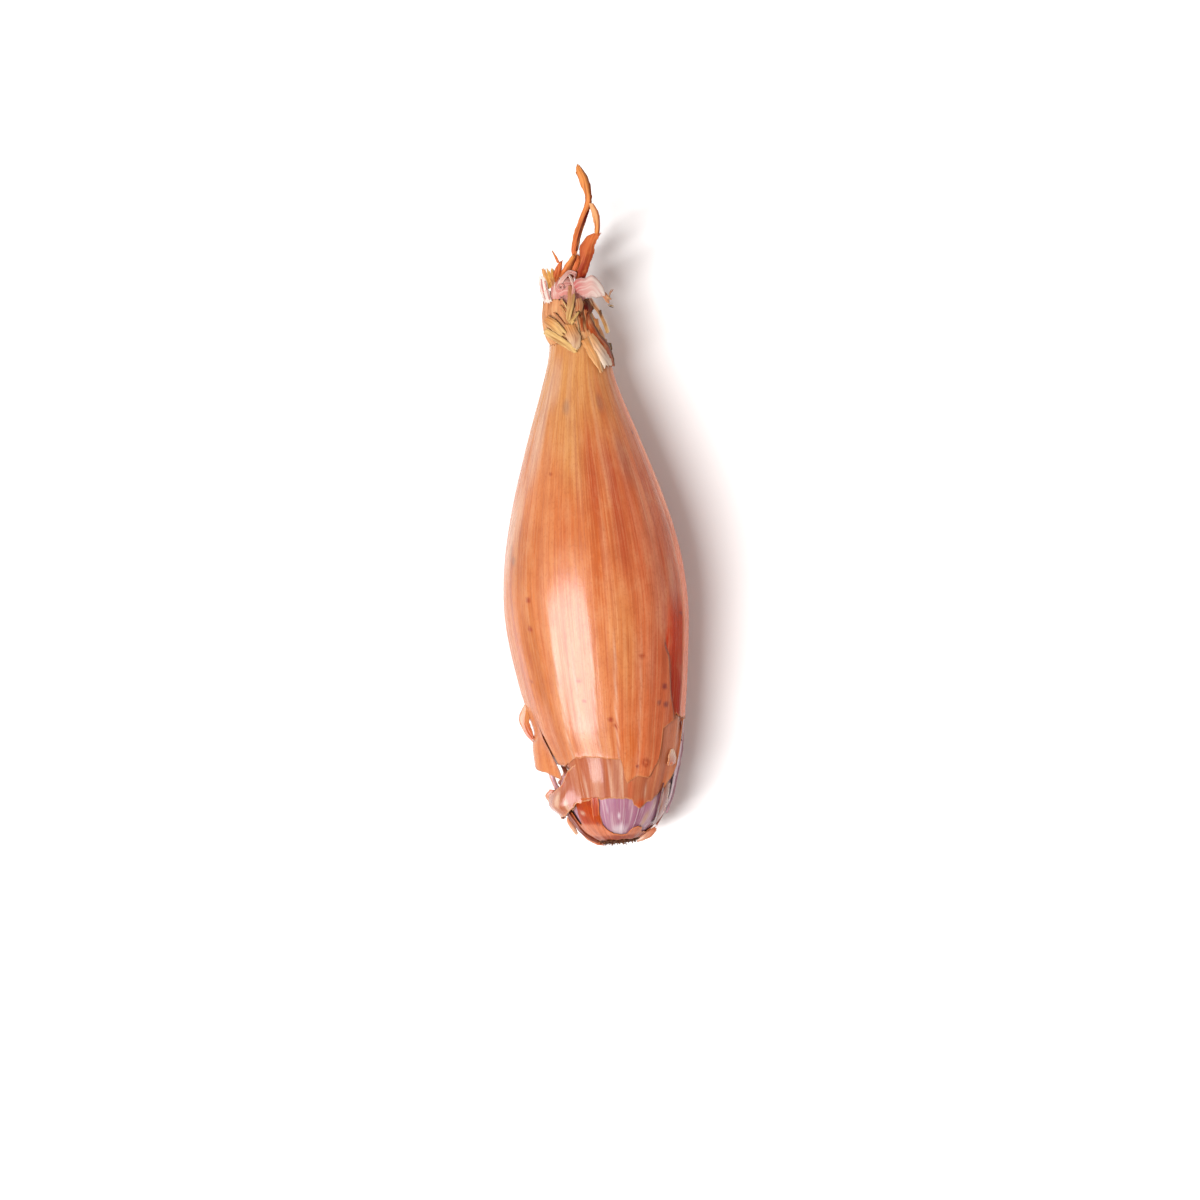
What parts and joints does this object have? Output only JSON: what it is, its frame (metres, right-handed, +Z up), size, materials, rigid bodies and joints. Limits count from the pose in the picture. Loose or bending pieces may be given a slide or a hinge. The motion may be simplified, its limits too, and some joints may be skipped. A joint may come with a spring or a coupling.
{
  "type": "banana shallot",
  "caption": "Banana shallot lying on its side: slim copper bulb in torn papery skins, with a corky root plate, bare purple flesh by the root end and dried leaf wisps at the neck.",
  "frame": {"origin": "middle of the small flat resting spot under the belly, on the surface the shallot lies on", "axes": "+Z up, out of the surface; +Y along the bulb's long axis towards the dried leaves; +X to its right seen from above"},
  "size_m": [0.0399, 0.1466, 0.0395],
  "materials": {
    "flesh": "satin purple flesh with pale streaks",
    "outer_skin": "glossy copper papery skin with fine lengthwise veins",
    "under_skin": "glossy pinkish copper papery skin",
    "base_skin": "deep orange papery skin, satin",
    "roots": "dry brown cork and root fibre, matte",
    "straw_sheath": "dry straw-coloured fibre, matte",
    "pink_scale": "thin pink and white papery scale",
    "dried_leaf": "dry red-brown leaf, satin"
  },
  "bodies": {
    "root": {"bulb": "flesh", "outer_skin": "outer_skin", "under_skin": "under_skin", "base_skin": "base_skin", "root_plate": "roots", "neck_sheath": "straw_sheath", "neck_pink_scale": "pink_scale", "dried_leaves": "dried_leaf"}
  },
  "joints": []
}
